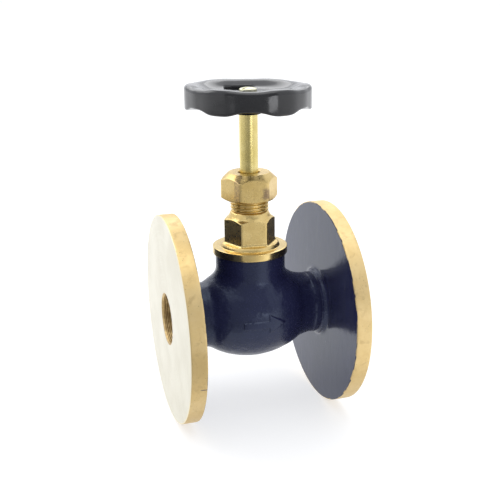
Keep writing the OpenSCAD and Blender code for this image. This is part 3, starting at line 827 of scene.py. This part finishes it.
def wheel_shape(x, y, z):
    """Six broad shallow lobes whose edge hangs lower than the valleys, dished top, hollow underside, three windows."""
    r = np.sqrt(x * x + y * y)
    th = np.arctan2(y, x)
    c = np.cos(6 * (th - WHEEL_TURN))
    v = step(0.0, 0.98, (1 - c) / 2)            # 0 at a lobe, 1 in a valley
    # the wheel sits a little out of square on its tang, low towards the outlet
    lean = -TILT * (x * math.cos(math.radians(-17)) + y * math.sin(math.radians(-17))) * step(12, 26, r)
    zz = z - lean
    big_r = 33.4 - 0.8 * v
    crest = CREST - 0.6 - 0.8 * v * (0.35 + 0.65 * step(4.0, -4.0, y))
    low = RIM_LOW + 2.0 * v
    t = step(18.0, 29.2, r)
    top = WEB + (crest - WEB) * t
    slope = 1.5 * (crest - WEB) / 11.2 * 4 * t * (1 - t)
    f_top = (zz - top) / np.sqrt(1 + slope * slope)
    b1 = step(6.8, 7.6, r)
    under = 110.0 + (WEB - 3.0 - 110.0) * b1
    b2 = step(24.4, 27.2, r)
    under = under + (low - (WEB - 3.0)) * b2
    s2 = 1.5 * (WEB - 3.0 - low) / 2.8 * 4 * b2 * (1 - b2) + 1.5 * 8.4 / 0.8 * 4 * b1 * (1 - b1)
    f_low = (under - zz) / np.sqrt(1 + s2 * s2)
    d = round_and(f_top, r - big_r, 2.2)
    d = round_and(d, np.maximum(f_low, -60), 1.1)
    d = np.maximum(d, round_and(f_low, r - big_r, 1.0))
    # windows
    win = -1e3
    for i in range(3):
        a = math.radians(88 + 120 * i)
        u = x * math.cos(a) + y * math.sin(a)
        w = -x * math.sin(a) + y * math.cos(a)
        wedge = (np.abs(w) - 2.0 - (u - 4.0) * 0.455) * 0.910
        hole = round_and(np.maximum(r - 22.0, 9.2 - r), wedge, 2.8)
        win = np.maximum(win, -hole)
    hole_d = win                                # positive inside a window
    d = smax(d, hole_d, 1.0)
    # square hole for the stem
    sq = np.maximum(np.abs(x), np.abs(y)) - 3.54
    return np.maximum(d, -sq)


def build_wheel():
    h = 0.42
    v, q = surface_net(wheel_shape, (-36, -36, 108.5), (36, 36, 128.0), h, relax=3, project=3)
    p = noise3(v, 9.0, 41) * 0.06 + noise3(v, 4.0, 43) * 0.02
    r = np.hypot(v[:, 0], v[:, 1])
    n = np.stack([v[:, 0] / np.maximum(r, 1), v[:, 1] / np.maximum(r, 1), 0.6 * np.sign(v[:, 2] - 119.0)], 1)
    v = v + n * (p * step(10, 14, r))[:, None]
    # stays inside the CAD wheel
    v[:, 2] = np.clip(v[:, 2], 110.0, 125.95)
    v[:, 2] += AXIS
    o = make_mesh("handwheel", v, q, MAT_WHEEL, 48)
    set_outward(o)
    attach(o, "spindle")
    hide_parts("handwheel")
    return o


def screw_shape(x, y, z):
    r = np.sqrt(x * x + y * y)
    dome = np.sqrt(r * r + (z - (WEB + 2.45 - 14.0)) ** 2) - 14.0
    head = round_and(np.maximum(r - 4.7, WEB - z), dome, 0.5)
    a = math.radians(35)
    w = -x * math.sin(a) + y * math.cos(a)
    slot = np.maximum(np.abs(w) - 0.6, WEB + 1.3 - z)
    head = smax(head, -slot, 0.25)
    shank = np.maximum(np.maximum(r - 2.46, WEB - 11 - z), z - WEB - 0.5)
    return smin(head, shank, 0.2)


def build_screw():
    h = 0.15
    v, q = surface_net(screw_shape, (-5.2, -5.2, WEB - 11.6), (5.2, 5.2, WEB + 3.2), h, relax=1, project=3)
    v[:, 2] = np.clip(v[:, 2], WEB - 11, WEB + 2.45) + AXIS
    o = make_mesh("handwheel_screw", v, q, MAT_SCREW, 40)
    set_outward(o)
    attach(o, "spindle")
    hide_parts("handwheel_screw")
    return o


build_body()
build_bonnet()
build_gland_nut()
build_stem()
build_wheel()
build_screw()

for name in ("seat_ring", "disc", "disc_nut", "packing_washer", "gland"):
    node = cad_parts[name]
    node.data.materials.clear()
    node.data.materials.append(MAT_INNER)
for name in ("bonnet_gasket", "packing_ring_1", "packing_ring_2", "packing_ring_3", "packing_ring_4"):
    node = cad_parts[name]
    node.data.materials.clear()
    node.data.materials.append(MAT_PTFE)


# ---------------------------------------------------------------- floor, light and camera

def stage_material(name, color, emission=None):
    m = bpy.data.materials.new(name)
    m.use_nodes = True
    t = m.node_tree
    b = t.nodes["Principled BSDF"]
    b.inputs["Base Color"].default_value = (*color, 1)
    b.inputs["Roughness"].default_value = 0.85
    b.inputs["Specular IOR Level"].default_value = 0.1
    if emission is not None:
        b.inputs["Base Color"].default_value = (0, 0, 0, 1)
        b.inputs["Emission Color"].default_value = (*emission, 1)
        b.inputs["Emission Strength"].default_value = 1.0
        b.inputs["Specular IOR Level"].default_value = 0.0
    return m


def plane(name, corners, material):
    mesh = bpy.data.meshes.new(name)
    mesh.from_pydata(corners, [], [tuple(range(len(corners)))])
    mesh.materials.append(material)
    o = bpy.data.objects.new(name, mesh)
    bpy.context.scene.collection.objects.link(o)
    return o


floor_mat = stage_material("white_floor", (0.50, 0.50, 0.50))
floor_mat.node_tree.nodes["Principled BSDF"].inputs["Emission Color"].default_value = (0.985, 0.99, 1.0, 1)
floor_mat.node_tree.nodes["Principled BSDF"].inputs["Emission Strength"].default_value = 0.60
floor = plane("floor", [(12 * math.cos(a), 12 * math.sin(a), -0.0002) for a in np.linspace(0, 2 * math.pi, 64, endpoint=False)], floor_mat)

# a grey card on the camera's side, seen only in reflections
card = plane("front_card", [(-1.30, -0.95, 0.0), (0.80, -1.25, 0.0), (0.80, -1.25, 1.5), (-1.30, -0.95, 1.5)],
             stage_material("grey_card", (0, 0, 0), emission=(0.48, 0.49, 0.51)))
card.visible_camera = False
card.visible_shadow = False

# two small strips the handwheel's rim mirrors beside the camera
for strip_name, x0, x1, level in (("strip_right", 0.10, 0.50, 5.6), ("strip_left", -0.85, -0.47, 1.5)):
    strip = plane(strip_name, [(x0, -0.82, 0.05), (x1, -0.82, 0.05), (x1, -0.82, 0.115), (x0, -0.82, 0.115)],
                  stage_material(strip_name, (0, 0, 0), emission=(0.98 * level, 0.99 * level, 1.02 * level)))
    strip.visible_camera = False
    strip.visible_shadow = False
    strip.visible_diffuse = False


def graded_card():
    """Flat grey card just above the floor: darkest in front, lighter to both sides and close to the valve."""
    n = Nodes("graded_card")
    t = n.t
    bearing = n.math("ARCTAN2", n.x, n.mul(n.y, -1.0))            # 0 straight in front, positive towards +X
    far = n.math("SQRT", n.add(n.mul(n.x, n.x), n.mul(n.y, n.y)))
    right_side = n.ramp(bearing, math.radians(-26), math.radians(62), 0.34, 1.05)
    left_side = n.ramp(n.mul(bearing, -1.0), math.radians(26), math.radians(130), 0.0, 0.50)
    level = n.add(right_side, left_side)
    level = n.mul(level, n.ramp(far, 325.0, 440.0, 1.55, 1.0))
    n.set(color=(0, 0, 0), roughness=1.0, specular=0.0)
    n.bsdf.inputs["Emission Color"].default_value = (0.985, 0.99, 1.0, 1)
    n.put(n.bsdf.inputs["Emission Strength"], level)
    ring = [(r * math.sin(a), -r * math.cos(a), 0.001) for r in (0.10, 1.25) for a in np.linspace(math.radians(-128), math.radians(62), 48)]
    mesh = bpy.data.meshes.new("low_card")
    mesh.from_pydata(ring, [], [(i, i + 1, i + 49, i + 48) for i in range(47)])
    mesh.materials.append(n.mat)
    o = bpy.data.objects.new("low_card", mesh)
    bpy.context.scene.collection.objects.link(o)
    return o


low_card = graded_card()
low_card.visible_camera = False
low_card.visible_shadow = False
low_card.visible_diffuse = False

world = bpy.data.worlds.new("studio")
bpy.context.scene.world = world
world.use_nodes = True
bg = world.node_tree.nodes["Background"]
bg.inputs["Color"].default_value = (0.965, 0.98, 1.02, 1)
bg.inputs["Strength"].default_value = 1.06


def area(name, place, target, size, power, color=(1, 1, 1)):
    light = bpy.data.lights.new(name, "AREA")
    light.shape = "RECTANGLE"
    light.size, light.size_y = size
    light.energy = power
    light.color = color
    o = bpy.data.objects.new(name, light)
    bpy.context.scene.collection.objects.link(o)
    o.location = place
    d = Vector(target) - Vector(place)
    o.rotation_euler = d.to_track_quat("-Z", "Y").to_euler()
    return o


area("key_left_back", (-1.1, 0.7, 1.3), (0, 0, 0.08), (0.9, 0.9), 6.0)
area("top", (0.15, -0.05, 1.6), (0, 0, 0.1), (1.0, 1.0), 4.5)
area("top_back", (0.15, 1.1, 0.95), (0, 0, 0.1), (1.8, 0.5), 3.6)

# camera fitted to the photograph: azimuth -17.06, elevation 17.49, roll -0.73 degrees
az, el, roll = math.radians(-17.0577), math.radians(17.4930), math.radians(-0.7283)
back = Vector((math.sin(az) * math.cos(el), -math.cos(az) * math.cos(el), math.sin(el)))
target = Vector((0, 0, (AXIS + 34.698) / 1000))
ahead = -back
right = ahead.cross(Vector((0, 0, 1))).normalized()
upward = right.cross(ahead)
r2 = math.cos(roll) * right + math.sin(roll) * upward
u2 = -math.sin(roll) * right + math.cos(roll) * upward
cam_data = bpy.data.cameras.new("camera")
cam_data.sensor_width = 36.0
cam_data.lens = 812.98 / 500 * 36.0
cam_data.clip_start = 0.01
cam_data.clip_end = 60
cam = bpy.data.objects.new("camera", cam_data)
bpy.context.scene.collection.objects.link(cam)
m = Matrix.Identity(4)
for i in range(3):
    m[i][0], m[i][1], m[i][2] = r2[i], u2[i], back[i]
place = target + back * 0.450382
m[0][3], m[1][3], m[2][3] = place
cam.matrix_world = m
bpy.context.scene.camera = cam

bpy.context.scene.view_settings.view_transform = "Standard"
bpy.context.scene.view_settings.look = "None"
bpy.context.scene.view_settings.exposure = 0.0
bpy.context.scene.view_settings.gamma = 1.0
